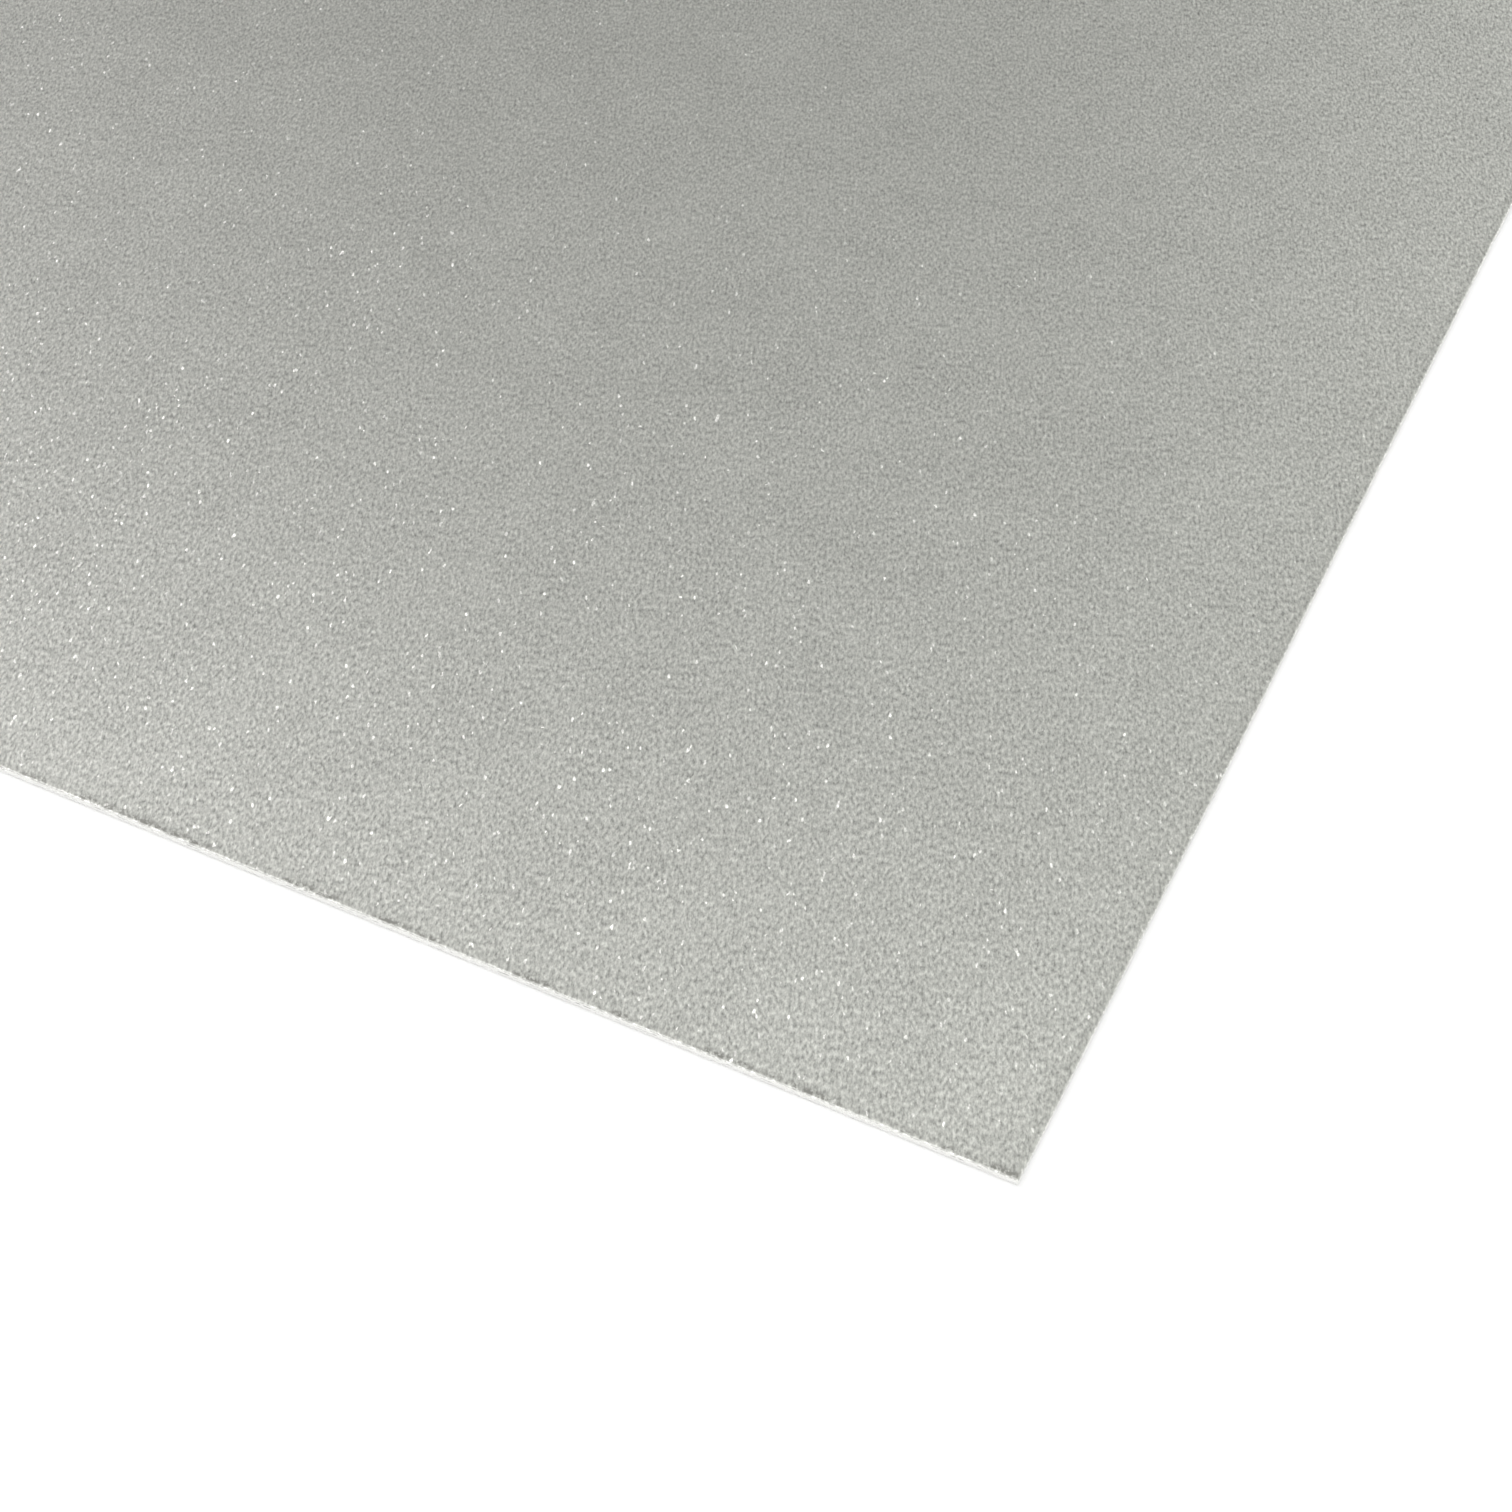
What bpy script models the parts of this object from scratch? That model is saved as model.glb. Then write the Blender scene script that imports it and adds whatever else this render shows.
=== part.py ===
"""Galvannealed steel sheet: one cut-to-size piece of 24 gauge stock, sheared on all four sides.

The sheet lies flat. Its origin is the middle of the rectangle at the level that it rests on.
X runs along its length, Y across its width and Z up through its thickness.
The cut section is drawn once as a profile and carried round the rectangle.
"""
import math

import bmesh
import bpy

# The blank, in metres: 12 by 12 inches of 24 gauge, coating included
SHEET_LENGTH = 0.3048
SHEET_WIDTH = 0.3048
THICKNESS = 0.00070

# The sheared edge, from the top face down
ROLLOVER_REACH = 0.00024  # how far in from the cut the top face starts to bend down
ROLLOVER_DEPTH = 0.00007  # how far the blade drew it down before it bit
BURNISH_HEIGHT = 0.00024  # the bright upright land that the blade rubbed
BREAKOUT_INSET = 0.00005  # how far the torn face falls back under the land
BURR_HEIGHT = 0.00002  # the lip left standing below the bottom face
BURR_WIDTH = 0.00004  # the lip's foot, measured in from the torn face

ROLLOVER_STEPS = 6  # flats along the bend

COATING_COLOUR = (0.43, 0.44, 0.40, 1.0)
COATING_ROUGHNESS = 0.55
COATING_METALLIC = 0.9
SHARP_ANGLE = math.radians(30)


def clear_scene():
    """Starts from an empty scene."""
    for thing in list(bpy.data.objects):
        bpy.data.objects.remove(thing)


def coating_material():
    """The matt grey zinc-iron finish of both faces."""
    material = bpy.data.materials.new("galvannealed_steel")
    material.use_nodes = True
    shader = material.node_tree.nodes["Principled BSDF"]
    shader.inputs["Base Color"].default_value = COATING_COLOUR
    shader.inputs["Roughness"].default_value = COATING_ROUGHNESS
    shader.inputs["Metallic"].default_value = COATING_METALLIC
    material.diffuse_color = COATING_COLOUR
    return material


def sheared_profile():
    """The cut section as (inset, height) pairs, from the top flat down to the bottom flat.

    The inset is measured in from the burnished land, which is the sheet's outermost plane.
    The sheet stands on the burr's tips, so its bottom face is a burr's height up.
    """
    bottom = BURR_HEIGHT
    top = bottom + THICKNESS
    land_top = top - ROLLOVER_DEPTH
    land_foot = land_top - BURNISH_HEIGHT

    profile = []
    for step in range(ROLLOVER_STEPS + 1):
        turn = math.pi / 2 * step / ROLLOVER_STEPS
        inset = ROLLOVER_REACH * (1 - math.sin(turn))
        height = land_top + ROLLOVER_DEPTH * math.cos(turn)
        profile.append((inset, height))

    profile.append((0.0, land_foot))
    profile.append((BREAKOUT_INSET, 0.0))
    profile.append((BREAKOUT_INSET + BURR_WIDTH, bottom))
    return profile


def rectangle_loop(bm, inset, height):
    """Four corners of the sheet's outline, moved in by the inset, counter-clockwise from above."""
    x = SHEET_LENGTH / 2 - inset
    y = SHEET_WIDTH / 2 - inset
    corners = ((x, y), (-x, y), (-x, -y), (x, -y))
    return [bm.verts.new((cx, cy, height)) for cx, cy in corners]


def bridge(bm, upper, lower):
    """A band of faces between two outlines."""
    count = len(upper)
    for i in range(count):
        j = (i + 1) % count
        bm.faces.new((upper[i], lower[i], lower[j], upper[j]))


def build_sheet():
    """The whole sheet as one closed solid: the profile carried round, and the two flats."""
    bm = bmesh.new()
    loops = [rectangle_loop(bm, inset, height) for inset, height in sheared_profile()]
    for upper, lower in zip(loops, loops[1:]):
        bridge(bm, upper, lower)
    bm.faces.new(loops[0])
    bm.faces.new(reversed(loops[-1]))
    bmesh.ops.recalc_face_normals(bm, faces=bm.faces)

    mesh = bpy.data.meshes.new("galvannealed_sheet")
    bm.to_mesh(mesh)
    bm.free()
    mesh.shade_smooth()
    mesh.set_sharp_from_angle(angle=SHARP_ANGLE)
    mesh.materials.append(coating_material())

    sheet = bpy.data.objects.new("galvannealed_sheet", mesh)
    bpy.context.collection.objects.link(sheet)
    return sheet


clear_scene()
build_sheet()
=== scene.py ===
"""Galvannealed steel sheet: its matt coating, its sheared edge, and the light and view it is seen in."""
import math

import bpy
import numpy as np
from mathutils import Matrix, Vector


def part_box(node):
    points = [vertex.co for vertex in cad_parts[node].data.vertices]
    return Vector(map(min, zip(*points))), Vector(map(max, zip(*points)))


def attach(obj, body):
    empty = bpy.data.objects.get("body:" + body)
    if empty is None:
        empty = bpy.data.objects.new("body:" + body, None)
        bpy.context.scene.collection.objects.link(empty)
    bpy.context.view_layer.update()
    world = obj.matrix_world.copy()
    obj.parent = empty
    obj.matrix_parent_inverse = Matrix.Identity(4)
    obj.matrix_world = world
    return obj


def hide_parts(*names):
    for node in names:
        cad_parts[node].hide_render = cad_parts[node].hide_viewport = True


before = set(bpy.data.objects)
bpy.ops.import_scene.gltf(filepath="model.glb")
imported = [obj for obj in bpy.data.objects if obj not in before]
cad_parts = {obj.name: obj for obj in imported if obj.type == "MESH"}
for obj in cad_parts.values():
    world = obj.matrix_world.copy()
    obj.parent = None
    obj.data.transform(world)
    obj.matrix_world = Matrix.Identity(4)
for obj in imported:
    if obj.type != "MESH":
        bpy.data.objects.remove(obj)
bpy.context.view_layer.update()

# The sheet's own sizes, in metres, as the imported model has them
SHEET_LOW, SHEET_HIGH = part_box("galvannealed_sheet")
SHEET_LENGTH = SHEET_HIGH.x - SHEET_LOW.x
SHEET_WIDTH = SHEET_HIGH.y - SHEET_LOW.y
TOP = SHEET_HIGH.z

# The sheared section's mean sizes, the same as in the part's source
ROLLOVER_REACH = 0.00024
ROLLOVER_DEPTH = 0.00007
BURNISH_HEIGHT = 0.00024
BREAKOUT_INSET = 0.00005
BURR_HEIGHT = 0.00002
BURR_WIDTH = 0.00004
BOTTOM = BURR_HEIGHT

# How finely the cut is drawn, and how the flats grow coarser towards the middle
STATION_GAP = 0.00025
HALVINGS = 6
FIRST_RING_INSET = 0.00030
ROLLOVER_STEPS = 5
LAND_STEPS = 2
TEAR_STEPS = 4
SHARP_ANGLE = math.radians(38)

# How far the cut wanders, in metres, and how far from a corner it does so in full
LAND_TOP_WANDER = 0.000009
LAND_FOOT_WANDER = 0.000048
LAND_WAVE = 0.000005
TEAR_ROUGHNESS = 0.000008
BURR_WANDER = 0.000005
CORNER_CALM = 0.0008

# Each wander's typical wiggle, in metres, and the seed of its random numbers
LAND_TOP_LONG = (0.0022, 11)
LAND_TOP_SHORT = (0.0007, 12)
LAND_FOOT_LONG = (0.0030, 13)
LAND_FOOT_SHORT = (0.0006, 14)
LAND_INWARD = (0.0040, 15)
TEAR_GRIT_LENGTH = 0.0003
TEAR_GRIT_SEED = 20
BURR_TIP = (0.0009, 31)
BURR_FOOT = (0.0008, 32)

# How strong the long wiggles are beside the short ones, and how the burr's tip and foot vary
LAND_TOP_LONG_SHARE = 0.5
LAND_FOOT_LONG_SHARE = 0.6
BURR_TIP_MEAN = 1.2
BURR_TIP_LIMIT = 0.8
BURR_FOOT_SHARE = 0.25

# The photograph: a square frame, its focal length in pixels, and the sheet's near corner in it
PHOTO_SIDE = 1512
FOCAL_PIXELS = 2912
CORNER_PIXEL = (1019, 1181)
CAMERA_PITCH = math.radians(49.36)
CAMERA_TURN = math.radians(26.1)
CAMERA_HEIGHT = 0.180
SENSOR_WIDTH = 36.0

# The colours of the coating and of the bare steel in the cut
COATING_DARK = (0.260, 0.263, 0.246, 1.0)
COATING_LIGHT = (0.742, 0.750, 0.702, 1.0)
# The colour of the coating's flecks, and of the painted shade near the cut
FLECK_AND_CUT_SHADE_COLOUR = (0.26, 0.26, 0.24, 1.0)
BARE_STEEL = (0.93, 0.93, 0.90, 1.0)
LAND_DARK = (0.80, 0.80, 0.77, 1.0)
TORN_DARK = (0.84, 0.84, 0.82, 1.0)
TORN_LIGHT = (1.0, 1.0, 0.98, 1.0)
# The painted shade where the tear starts under the land
TEAR_START_SHADE = (0.34, 0.34, 0.32, 1.0)

# In the groups below, a name that ends in RANGE holds the two noise values that a change runs between

# The coating's grain and its pits, a little longer than wide: their sizes, and how deep the pits are
GRAIN_TURN = math.radians(22)
GRAIN_STRETCH = 2.0
GRAIN_SIZE = 0.00025
GRAIN_RANGE = (0.25, 0.75)
GRAIN_ROUGHNESS = (0.55, 0.45)
PIT_SIZE = 0.00034
PIT_DEPTH = 0.00003

# Faint clouds in the coating, small and large: their sizes, and how far they shift the tone
CLOUD_SIZE = 0.008
CLOUD_TONE = 0.03
DRIFT_SIZE = 0.060
DRIFT_TONE = 0.02
CLOUD_RANGE = (0.3, 0.7)

# Tiny glossier flats in the coating: their size and share, their mean slope and how far it varies
FLAT_SIZE = 0.00021
FLAT_SHARE = 0.015
FLAT_LEAN = (-0.14, -0.16, 0.0)
FLAT_SPREAD = 0.08
FLAT_GLOSS = 0.12

# The coating by its distance in from the cut: darkened near it as painted shade, flecked in spells,
# rubbed, and torn off
CUT_SHADE_REACH = (0.0003, 0.0012)
CUT_SHADE_SHARE_Y = 0.10
CUT_SHADE_SHARE_X = 0.16
FLECK_REACH = (0.0003, 0.0009)
FLAKE_SIZE = 0.0004
FLAKE_RANGE = (0.47, 0.54)
SPELL_SIZE = 0.0035
SPELL_RANGE = (0.46, 0.54)
RUBBED_REACH = 0.00018
RUBBED_SHARE = 0.5
TORN_RANGE = (0.35, 0.65)
TORN_REACH = (0.00010, -0.00006)
BARE_GLOSS = 0.2

# The cut's own finish: upright drag lines on the land, and grit in the tear
DRAG_STRETCH = 12.0
DRAG_LINE_SIZE = 0.00006
DRAG_STREAK_SIZE = 0.0005
LAND_ROUGHNESS = (0.16, 0.34)
GRIT_SIZE = 0.00007
TORN_ROUGHNESS = (0.35, 0.50)
CUT_RANGE = (0.3, 0.7)
CUT_DEPTH = 0.00001

# The painted shade where the tear starts under the land: the heights it comes in between, how much, and
# how patchy it is
TEAR_SHADE_HEIGHTS = (0.00034, 0.00040)
TEAR_SHADE_SHARE = 0.8
TEAR_SHADE_PATCH_SIZE = 0.0007
TEAR_SHADE_PATCH_RANGE = (0.44, 0.54)


def smooth_wander(count, length, seed):
    """A closed run of smooth random numbers round the sheet, mean 0 and deviation 1."""
    rough = np.random.RandomState(seed).normal(size=count)
    cycles = np.fft.rfftfreq(count, d=STATION_GAP)
    softened = np.fft.rfft(rough) * np.exp(-0.5 * (cycles * length) ** 2 * math.pi)
    softened[0] = 0
    run = np.fft.irfft(softened, n=count)
    return run / run.std()


class Outline:
    """The sheet's rectangle cut into stations, counter-clockwise from the far right corner."""

    def __init__(self, cells_x, cells_y):
        self.sides = (cells_x, cells_y, cells_x, cells_y)
        self.count = sum(self.sides)
        self.corners = ((1, 1), (-1, 1), (-1, -1), (1, -1))
        self.outward = ((0, 1), (-1, 0), (0, -1), (1, 0))

    def loop(self, inset, push=0.0, height=0.0):
        """Points at an inset. Push moves each one further in, and height sets its level."""
        push = np.broadcast_to(push, self.count)
        half = np.array((SHEET_LENGTH / 2 - inset, SHEET_WIDTH / 2 - inset))
        rows = []
        start = 0
        for side, count in enumerate(self.sides):
            here = np.array(self.corners[side]) * half
            there = np.array(self.corners[(side + 1) % 4]) * half
            share = (np.arange(count) / count)[:, None]
            flat = here + (there - here) * share
            flat = flat - np.array(self.outward[side]) * push[start:start + count, None]
            rows.append(flat)
            start += count
        flat = np.concatenate(rows)
        level = np.broadcast_to(height, self.count)[:, None]
        return np.concatenate((flat, level), axis=1)

    def calm(self):
        """0 at the corners and 1 away from them, so that the ragged loops still meet there."""
        runs = []
        for count in self.sides:
            steps = np.arange(count)
            reach = np.minimum(steps, count - steps) * STATION_GAP / CORNER_CALM
            runs.append(np.clip(reach, 0, 1))
        return np.concatenate(runs)


class Sheet:
    """Collects the sheet's points and faces, each face with its material."""

    COATING, LAND, TORN = range(3)

    def __init__(self):
        self.points = []
        self.faces = []
        self.kinds = []

    def add_points(self, rows):
        first = len(self.points)
        self.points.extend(rows.tolist())
        return list(range(first, len(self.points)))

    def add_face(self, corners, kind):
        self.faces.append(corners)
        self.kinds.append(kind)

    def band(self, upper, lower, kind):
        """Quads between two loops of the same count, the lower one further down or out."""
        count = len(upper)
        for i in range(count):
            j = (i + 1) % count
            self.add_face((upper[i], lower[i], lower[j], upper[j]), kind)

    def coarsen(self, outer, inner, kind, facing_up):
        """A flat ring whose inner loop has half the stations of its outer one."""
        for j in range(len(inner)):
            k = (j + 1) % len(inner)
            a, b, c = outer[2 * j], outer[2 * j + 1], outer[(2 * j + 2) % len(outer)]
            for corners in ((a, b, inner[j]), (b, inner[k], inner[j]), (b, c, inner[k])):
                self.add_face(corners if facing_up else corners[::-1], kind)

    def grid(self, rim, cells_x, cells_y, kind, facing_up):
        """Fills the innermost rectangle with a grid whose rim is already there."""
        corner = np.array(self.points[rim[0]])
        opposite = np.array(self.points[rim[cells_x + cells_y]])
        known = {}
        for i in range(cells_x + 1):
            known[(i, 0)] = rim[i]
            known[(i, cells_y)] = rim[(2 * cells_x + cells_y - i) % len(rim)]
        for j in range(cells_y + 1):
            known[(cells_x, j)] = rim[cells_x + j]
            known[(0, j)] = rim[(2 * cells_x + 2 * cells_y - j) % len(rim)]
        for i in range(1, cells_x):
            for j in range(1, cells_y):
                share = np.array((i / cells_x, j / cells_y, 0))
                known[(i, j)] = len(self.points)
                self.points.append((corner + (opposite - corner) * share).tolist())
        for i in range(cells_x):
            for j in range(cells_y):
                corners = (known[(i, j)], known[(i + 1, j)], known[(i + 1, j + 1)], known[(i, j + 1)])
                self.add_face(corners if facing_up else corners[::-1], kind)

    def flat(self, outline_cells, rim, height, facing_up):
        """One face of the sheet, from its rim at the cut to the coarse grid in the middle."""
        cells_x, cells_y = outline_cells
        inset = FIRST_RING_INSET
        gap = STATION_GAP
        for halving in range(HALVINGS):
            fewer = 2 ** (HALVINGS - 1 - halving)
            gap *= 2
            inset += gap
            ring = Outline(cells_x * fewer, cells_y * fewer)
            inner = self.add_points(ring.loop(inset, height=height))
            self.coarsen(rim, inner, self.COATING, facing_up)
            rim = inner
        self.grid(rim, cells_x, cells_y, self.COATING, facing_up)


def sheared_bands(outline):
    """The cut from the top flat to the bottom flat, as (loop of points, material below it)."""
    count = outline.count
    calm = outline.calm()
    top_wander = LAND_TOP_LONG_SHARE * smooth_wander(count, *LAND_TOP_LONG)
    top_wander = top_wander + smooth_wander(count, *LAND_TOP_SHORT)
    land_top = TOP - ROLLOVER_DEPTH + calm * LAND_TOP_WANDER * top_wander
    foot_wander = LAND_FOOT_LONG_SHARE * smooth_wander(count, *LAND_FOOT_LONG)
    foot_wander = foot_wander + smooth_wander(count, *LAND_FOOT_SHORT)
    land_foot = TOP - ROLLOVER_DEPTH - BURNISH_HEIGHT + calm * LAND_FOOT_WANDER * foot_wander
    land_in = calm * LAND_WAVE * np.abs(smooth_wander(count, *LAND_INWARD))

    bands = []
    for step in range(ROLLOVER_STEPS):
        turn = math.pi / 2 * step / ROLLOVER_STEPS
        inset = ROLLOVER_REACH * (1 - math.sin(turn))
        height = land_top + (TOP - land_top) * math.cos(turn)
        bands.append((outline.loop(inset, land_in * math.sin(turn), height), Sheet.COATING))

    for step in range(LAND_STEPS):
        share = step / LAND_STEPS
        height = land_top + (land_foot - land_top) * share
        bands.append((outline.loop(0.0, land_in, height), Sheet.LAND))

    for step in range(TEAR_STEPS):
        share = step / TEAR_STEPS
        height = land_foot * (1 - share) + BURR_HEIGHT * share
        grit = TEAR_ROUGHNESS * np.abs(smooth_wander(count, TEAR_GRIT_LENGTH, TEAR_GRIT_SEED + step))
        push = land_in + calm * grit * math.sin(math.pi * share)
        bands.append((outline.loop(BREAKOUT_INSET * share, push, height), Sheet.TORN))

    tip = calm * BURR_WANDER * (BURR_TIP_MEAN + smooth_wander(count, *BURR_TIP))
    tip = np.clip(tip, 0, BURR_TIP_LIMIT * BURR_HEIGHT)
    bands.append((outline.loop(BREAKOUT_INSET, land_in, tip), Sheet.TORN))
    foot = calm * BURR_WIDTH * BURR_FOOT_SHARE * smooth_wander(count, *BURR_FOOT)
    bands.append((outline.loop(BREAKOUT_INSET + BURR_WIDTH, foot, BOTTOM), Sheet.COATING))
    return bands


def sheet_mesh():
    """The whole sheet as one closed mesh, fine at the cut and coarse in the middle."""
    step = STATION_GAP * 2 ** HALVINGS
    cells = (round(SHEET_LENGTH / step), round(SHEET_WIDTH / step))
    fine = 2 ** HALVINGS
    outline = Outline(cells[0] * fine, cells[1] * fine)
    sheet = Sheet()

    upper = sheet.add_points(outline.loop(FIRST_RING_INSET, height=TOP))
    sheet.flat(cells, upper, TOP, True)
    kind = Sheet.COATING
    for rows, next_kind in sheared_bands(outline):
        lower = sheet.add_points(rows)
        sheet.band(upper, lower, kind)
        upper = lower
        kind = next_kind
    lower = sheet.add_points(outline.loop(FIRST_RING_INSET, height=BOTTOM))
    sheet.band(upper, lower, kind)
    sheet.flat(cells, lower, BOTTOM, False)

    mesh = bpy.data.meshes.new("coated_sheet")
    mesh.from_pydata(sheet.points, [], sheet.faces)
    mesh.polygons.foreach_set("material_index", sheet.kinds)
    mesh.shade_smooth()
    mesh.set_sharp_from_angle(angle=SHARP_ANGLE)
    return mesh


class Nodes:
    """A material's node tree, with short ways to add to it."""

    def __init__(self, name):
        self.material = bpy.data.materials.new(name)
        self.material.use_nodes = True
        self.tree = self.material.node_tree
        self.shader = self.tree.nodes["Principled BSDF"]
        self.place = self.add("ShaderNodeTexCoord").outputs["Object"]

    def add(self, kind, **settings):
        node = self.tree.nodes.new(kind)
        for name, value in settings.items():
            setattr(node, name, value)
        return node

    def feed(self, socket, value):
        """Links an output to a socket, or sets the socket's own value."""
        if isinstance(value, bpy.types.NodeSocket):
            self.tree.links.new(value, socket)
        else:
            socket.default_value = value

    def stretched(self, turn, scale):
        """Object coordinates turned about Z and scaled."""
        node = self.add("ShaderNodeMapping", vector_type="TEXTURE")
        self.feed(node.inputs["Vector"], self.place)
        node.inputs["Rotation"].default_value = (0, 0, turn)
        node.inputs["Scale"].default_value = scale
        return node.outputs["Vector"]

    def parts(self, vector):
        """A vector's X, Y and Z."""
        node = self.add("ShaderNodeSeparateXYZ")
        self.feed(node.inputs["Vector"], vector)
        return node.outputs["X"], node.outputs["Y"], node.outputs["Z"]

    def noise(self, vector, size, detail, roughness=0.5):
        """Noise with features of about a size in metres, mostly between 0.2 and 0.8."""
        node = self.add("ShaderNodeTexNoise")
        self.feed(node.inputs["Vector"], vector)
        node.inputs["Scale"].default_value = 1 / size
        node.inputs["Detail"].default_value = detail
        node.inputs["Roughness"].default_value = roughness
        return node.outputs["Fac"]

    def math(self, operation, *values, clamp=False):
        node = self.add("ShaderNodeMath", operation=operation, use_clamp=clamp)
        for socket, value in zip(node.inputs, values):
            self.feed(socket, value)
        return node.outputs["Value"]

    def remap(self, value, low, high, new_low, new_high, smooth=False):
        node = self.add("ShaderNodeMapRange", interpolation_type="SMOOTHSTEP" if smooth else "LINEAR")
        names = ("Value", "From Min", "From Max", "To Min", "To Max")
        for name, number in zip(names, (value, low, high, new_low, new_high)):
            self.feed(node.inputs[name], number)
        return node.outputs["Result"]

    def blend(self, share, first, second):
        """A colour between two, by a share from 0 to 1."""
        node = self.add("ShaderNodeMix", data_type="RGBA")
        self.feed(node.inputs["Factor"], share)
        self.feed(node.inputs["A"], first)
        self.feed(node.inputs["B"], second)
        return node.outputs["Result"]

    def cells(self, vector, size):
        """A random colour for each irregular cell of about a size in metres."""
        node = self.add("ShaderNodeTexVoronoi")
        self.feed(node.inputs["Vector"], vector)
        node.inputs["Scale"].default_value = 1 / size
        return node.outputs["Color"]

    def vectors(self, operation, *values):
        node = self.add("ShaderNodeVectorMath", operation=operation)
        sockets = [socket for socket in node.inputs if socket.type == "VECTOR"]
        for socket, value in zip(sockets, values):
            self.feed(socket, value)
        return node.outputs["Vector"]

    def leaning(self, colour, chosen, lean, spread):
        """The surface's normal, tipped in the chosen cells by a mean slope and a random part."""
        tip = self.vectors("SUBTRACT", colour, (0.5, 0.5, 0.5))
        tip = self.vectors("MULTIPLY", tip, (2 * spread, 2 * spread, 0.0))
        tip = self.vectors("ADD", tip, lean)
        tip = self.vectors("MULTIPLY", tip, chosen)
        normal = self.add("ShaderNodeNewGeometry").outputs["Normal"]
        return self.vectors("NORMALIZE", self.vectors("ADD", tip, normal))

    def bump(self, height, distance, normal=None):
        node = self.add("ShaderNodeBump")
        self.feed(node.inputs["Height"], height)
        node.inputs["Distance"].default_value = distance
        if normal:
            self.feed(node.inputs["Normal"], normal)
        return node.outputs["Normal"]

    def edge_distances(self):
        """How far a point lies in from the nearest cut across X and across Y, in metres."""
        x, y, _ = self.parts(self.place)
        across_x = self.math("SUBTRACT", SHEET_LENGTH / 2, self.math("ABSOLUTE", x))
        across_y = self.math("SUBTRACT", SHEET_WIDTH / 2, self.math("ABSOLUTE", y))
        return across_x, across_y

    def as_metal(self, colour, roughness, normal):
        """Feeds the shader as plain metal and gives the finished material."""
        self.feed(self.shader.inputs["Base Color"], colour)
        self.feed(self.shader.inputs["Roughness"], roughness)
        self.feed(self.shader.inputs["Normal"], normal)
        self.shader.inputs["Metallic"].default_value = 1.0
        return self.material


def coating_tone(nodes, grain):
    """The grain's tone from dark 0 to light 1, shifted a little by the faint clouds."""
    cloud = nodes.noise(nodes.place, CLOUD_SIZE, detail=3.0)
    drift = nodes.noise(nodes.place, DRIFT_SIZE, detail=2.0)
    tone = nodes.remap(grain, *GRAIN_RANGE, 0.0, 1.0)
    tone = nodes.math("ADD", tone, nodes.remap(cloud, *CLOUD_RANGE, -CLOUD_TONE, CLOUD_TONE))
    drift = nodes.remap(drift, *CLOUD_RANGE, -DRIFT_TONE, DRIFT_TONE)
    return nodes.math("ADD", tone, drift, clamp=True)


def worn_and_shaded_at_cut(nodes, colour):
    """The coating's colour with its wear and a painted shade near the cut, and 1 where it is torn down
    to the steel.
    """
    across_x, across_y = nodes.edge_distances()
    distance = nodes.math("MINIMUM", across_x, across_y)
    # Painted shade: the coating is darkened within about a millimetre of each cut, more at the two ends
    # in X than at the two in Y
    for across, share in ((across_y, CUT_SHADE_SHARE_Y), (across_x, CUT_SHADE_SHARE_X)):
        cut_shade = nodes.remap(across, *CUT_SHADE_REACH, share, 0.0, smooth=True)
        colour = nodes.blend(cut_shade, colour, FLECK_AND_CUT_SHADE_COLOUR)

    flake = nodes.noise(nodes.place, FLAKE_SIZE, detail=4.0, roughness=0.65)
    spell = nodes.noise(nodes.place, SPELL_SIZE, detail=1.0)
    fleck = nodes.remap(across_y, *FLECK_REACH, 1.0, 0.0, smooth=True)
    fleck = nodes.math("MULTIPLY", fleck, nodes.remap(flake, *FLAKE_RANGE, 0.0, 1.0))
    fleck = nodes.math("MULTIPLY", fleck, nodes.remap(spell, *SPELL_RANGE, 0.0, 1.0))
    colour = nodes.blend(fleck, colour, FLECK_AND_CUT_SHADE_COLOUR)

    rubbed = nodes.remap(distance, 0.0, RUBBED_REACH, RUBBED_SHARE, 0.0, smooth=True)
    colour = nodes.blend(rubbed, colour, BARE_STEEL)
    bare = nodes.math("LESS_THAN", distance, nodes.remap(flake, *TORN_RANGE, *TORN_REACH))
    return nodes.blend(bare, colour, BARE_STEEL), bare


def coating_material():
    """Matt zinc-iron: a fine even grain with no spangle, faint clouds, rare glints, wear and painted
    shade at the cut.
    """
    nodes = Nodes("galvannealed_coating")
    rolled = nodes.stretched(GRAIN_TURN, (1.0, GRAIN_STRETCH, 1.0))
    grain = nodes.noise(rolled, GRAIN_SIZE, detail=2.0, roughness=0.6)
    colour = nodes.blend(coating_tone(nodes, grain), COATING_DARK, COATING_LIGHT)
    colour, bare = worn_and_shaded_at_cut(nodes, colour)

    flat = nodes.cells(rolled, FLAT_SIZE)
    glossy = nodes.math("LESS_THAN", nodes.parts(flat)[2], FLAT_SHARE)
    roughness = nodes.remap(grain, *GRAIN_RANGE, *GRAIN_ROUGHNESS)
    roughness = nodes.math("SUBTRACT", roughness, nodes.math("MULTIPLY", bare, BARE_GLOSS))
    roughness = nodes.math("SUBTRACT", roughness, nodes.math("MULTIPLY", glossy, FLAT_GLOSS))

    pits = nodes.noise(rolled, PIT_SIZE, detail=2.0)
    normal = nodes.leaning(flat, glossy, FLAT_LEAN, FLAT_SPREAD)
    return nodes.as_metal(colour, roughness, nodes.bump(pits, PIT_DEPTH, normal))


def land_material():
    """The land that the blade rubbed: bright bare steel with upright drag lines."""
    nodes = Nodes("rubbed_steel")
    drag = nodes.stretched(0.0, (1.0, 1.0, DRAG_STRETCH))
    lines = nodes.noise(drag, DRAG_LINE_SIZE, detail=3.0)
    streak = nodes.noise(drag, DRAG_STREAK_SIZE, detail=2.0)
    colour = nodes.blend(streak, LAND_DARK, BARE_STEEL)
    roughness = nodes.remap(lines, *CUT_RANGE, *LAND_ROUGHNESS)
    return nodes.as_metal(colour, roughness, nodes.bump(lines, CUT_DEPTH))


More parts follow.
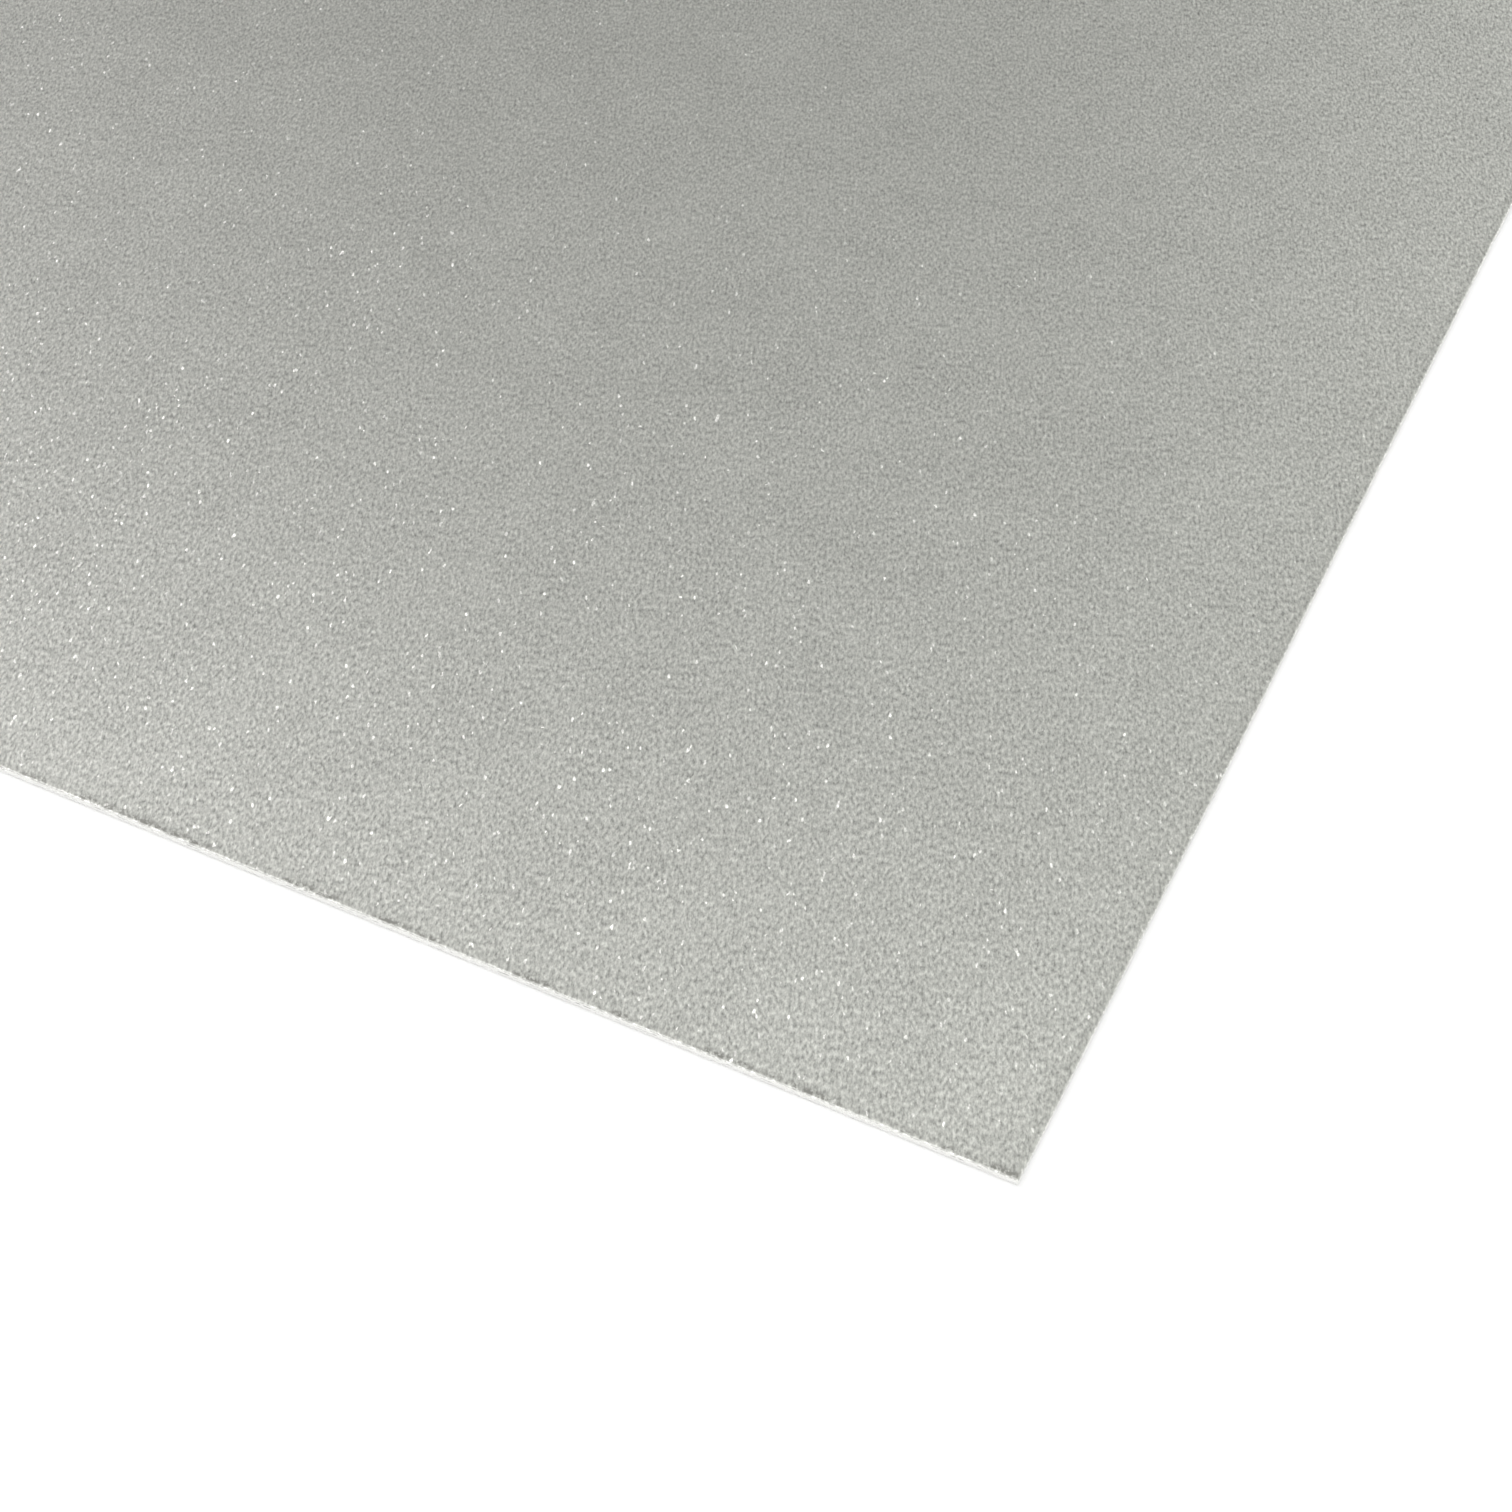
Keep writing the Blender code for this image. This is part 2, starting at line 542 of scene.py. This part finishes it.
def torn_material():
    """The torn half of the cut: grainy, with a painted shade where the tear starts under the land."""
    nodes = Nodes("torn_steel")
    grit = nodes.noise(nodes.place, GRIT_SIZE, detail=3.0, roughness=0.6)
    shade_patches = nodes.noise(nodes.place, TEAR_SHADE_PATCH_SIZE, detail=2.0)
    # Painted shade: dark in a band just under the land, in patches
    start = nodes.remap(nodes.parts(nodes.place)[2], *TEAR_SHADE_HEIGHTS, 0.0, TEAR_SHADE_SHARE)
    start = nodes.math("MULTIPLY", start, nodes.remap(shade_patches, *TEAR_SHADE_PATCH_RANGE, 0.0, 1.0))
    colour = nodes.blend(start, nodes.blend(grit, TORN_DARK, TORN_LIGHT), TEAR_START_SHADE)
    roughness = nodes.remap(grit, *CUT_RANGE, *TORN_ROUGHNESS)
    return nodes.as_metal(colour, roughness, nodes.bump(grit, CUT_DEPTH))


def make_sheet():
    """The detailed sheet, standing for the plain one."""
    mesh = sheet_mesh()
    for material in (coating_material(), land_material(), torn_material()):
        mesh.materials.append(material)
    sheet = bpy.data.objects.new("coated_sheet", mesh)
    bpy.context.collection.objects.link(sheet)
    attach(sheet, "root")
    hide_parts("galvannealed_sheet")


# The floor: its size, how far under the sheet it lies, its colour where light spreads from it, and
# its colour where the camera or a reflection sees it, 1 being white
FLOOR_SIDE = 3.0
FLOOR_GAP = 0.00001
FLOOR_COLOUR = 0.80
FLOOR_SEEN = 1.00


def seen_directly(tree):
    """1 where the camera, a reflection or clear material looks, and 0 for light that spreads."""
    path = tree.nodes.new("ShaderNodeLightPath")
    total = path.outputs["Is Camera Ray"]
    for name in ("Is Glossy Ray", "Is Transmission Ray"):
        node = tree.nodes.new("ShaderNodeMath")
        node.operation = "MAXIMUM"
        tree.links.new(total, node.inputs[0])
        tree.links.new(path.outputs[name], node.inputs[1])
        total = node.outputs["Value"]
    return total


def make_floor():
    """A pale floor that is seen as white and keeps the sheet's thin shadow."""
    mesh = bpy.data.meshes.new("floor")
    half = FLOOR_SIDE / 2
    corners = [(-half, -half, 0), (half, -half, 0), (half, half, 0), (-half, half, 0)]
    mesh.from_pydata(corners, [], [(0, 1, 2, 3)])
    floor = bpy.data.objects.new("floor", mesh)
    floor.location.z = SHEET_LOW.z - FLOOR_GAP
    bpy.context.collection.objects.link(floor)

    material = bpy.data.materials.new("floor")
    material.use_nodes = True
    tree = material.node_tree
    tree.nodes.remove(tree.nodes["Principled BSDF"])
    diffuse = tree.nodes.new("ShaderNodeBsdfDiffuse")
    shade = tree.nodes.new("ShaderNodeMapRange")
    shade.inputs["To Min"].default_value = FLOOR_COLOUR
    shade.inputs["To Max"].default_value = FLOOR_SEEN
    tree.links.new(seen_directly(tree), shade.inputs["Value"])
    tree.links.new(shade.outputs["Result"], diffuse.inputs["Color"])
    tree.links.new(diffuse.outputs["BSDF"], tree.nodes["Material Output"].inputs["Surface"])
    mesh.materials.append(material)


# The studio: white near the horizon like a curved wall, and dimmer overhead
HORIZON_LIGHT = 1.0
OVERHEAD_LIGHT = 0.05
WALL_TOP = math.radians(12)
CEILING_FOOT = math.radians(30)

# How far off the lamps are, and the faint tints of the overhead lamp and of the window
LAMP_DISTANCE = 4.8
CEILING_COLOUR = (0.993, 1.0, 0.988)
WINDOW_COLOUR = (1.0, 0.965, 1.0)


def make_world():
    """Even soft light from all round: a white wall that fades to a dimmer ceiling."""
    world = bpy.data.worlds.new("studio")
    world.use_nodes = True
    tree = world.node_tree
    direction = tree.nodes.new("ShaderNodeTexCoord").outputs["Generated"]
    parts = tree.nodes.new("ShaderNodeSeparateXYZ")
    tree.links.new(direction, parts.inputs["Vector"])
    level = tree.nodes.new("ShaderNodeMapRange")
    level.interpolation_type = "SMOOTHSTEP"
    tree.links.new(parts.outputs["Z"], level.inputs["Value"])
    level.inputs["From Min"].default_value = math.sin(WALL_TOP)
    level.inputs["From Max"].default_value = math.sin(CEILING_FOOT)
    level.inputs["To Min"].default_value = HORIZON_LIGHT
    level.inputs["To Max"].default_value = OVERHEAD_LIGHT
    background = tree.nodes["Background"]
    background.inputs["Color"].default_value = (1.0, 1.0, 1.0, 1.0)
    tree.links.new(level.outputs["Result"], background.inputs["Strength"])
    bpy.context.scene.world = world


def around_view(turn, rise, distance):
    """A point seen from the sheet, turned in degrees to the right of the view's own direction."""
    heading = CAMERA_TURN - math.radians(turn)
    lift = math.radians(rise)
    flat = math.cos(lift)
    way = Vector((-math.sin(heading) * flat, math.cos(heading) * flat, math.sin(lift)))
    return way * distance


def soft_lamp(name, turn, rise, side, radiance, colour=(1.0, 1.0, 1.0)):
    """A square lamp that faces the sheet, as bright as radiance says over its whole face."""
    lamp = bpy.data.lights.new(name, "AREA")
    lamp.shape = "SQUARE"
    lamp.size = side
    lamp.energy = radiance * math.pi * side * side
    lamp.color = colour
    holder = bpy.data.objects.new(name, lamp)
    holder.visible_camera = False
    holder.location = around_view(turn, rise, LAMP_DISTANCE)
    holder.rotation_euler = (-holder.location).to_track_quat("-Z", "Y").to_euler()
    bpy.context.collection.objects.link(holder)


def make_lamps():
    """A broad lamp overhead, a window, a bright pane under it, a far fill, and two for the cut edges."""
    soft_lamp("ceiling", turn=180, rise=88, side=6.6, radiance=1.50, colour=CEILING_COLOUR)
    soft_lamp("left_window", turn=-60, rise=45, side=3.6, radiance=1.84, colour=WINDOW_COLOUR)
    soft_lamp("bright_pane", turn=-50, rise=32, side=0.5, radiance=8.2, colour=WINDOW_COLOUR)
    soft_lamp("far_fill", turn=40, rise=25, side=3.3, radiance=1.27)
    soft_lamp("front_fill", turn=180, rise=35, side=6.0, radiance=0.56)
    soft_lamp("right_fill", turn=100, rise=25, side=3.3, radiance=0.46)


def make_camera():
    """The photograph's view: its pitch, and the place that puts the near corner on its pixel."""
    camera = bpy.data.cameras.new("camera")
    camera.sensor_width = SENSOR_WIDTH
    camera.lens = SENSOR_WIDTH * FOCAL_PIXELS / PHOTO_SIDE
    camera.clip_start = 0.01
    camera.clip_end = 50.0
    holder = bpy.data.objects.new("camera", camera)
    holder.rotation_euler = (math.pi / 2 - CAMERA_PITCH, 0, CAMERA_TURN)
    bpy.context.collection.objects.link(holder)

    right = CORNER_PIXEL[0] - PHOTO_SIDE / 2
    down = CORNER_PIXEL[1] - PHOTO_SIDE / 2
    ray = holder.rotation_euler.to_matrix() @ Vector((right, -down, -FOCAL_PIXELS))
    corner = Vector((SHEET_HIGH.x, SHEET_LOW.y, TOP))
    holder.location = corner + ray * (CAMERA_HEIGHT / ray.z)
    bpy.context.scene.camera = holder


make_sheet()
make_floor()
make_world()
make_lamps()
make_camera()
bpy.context.scene.view_settings.view_transform = "Standard"
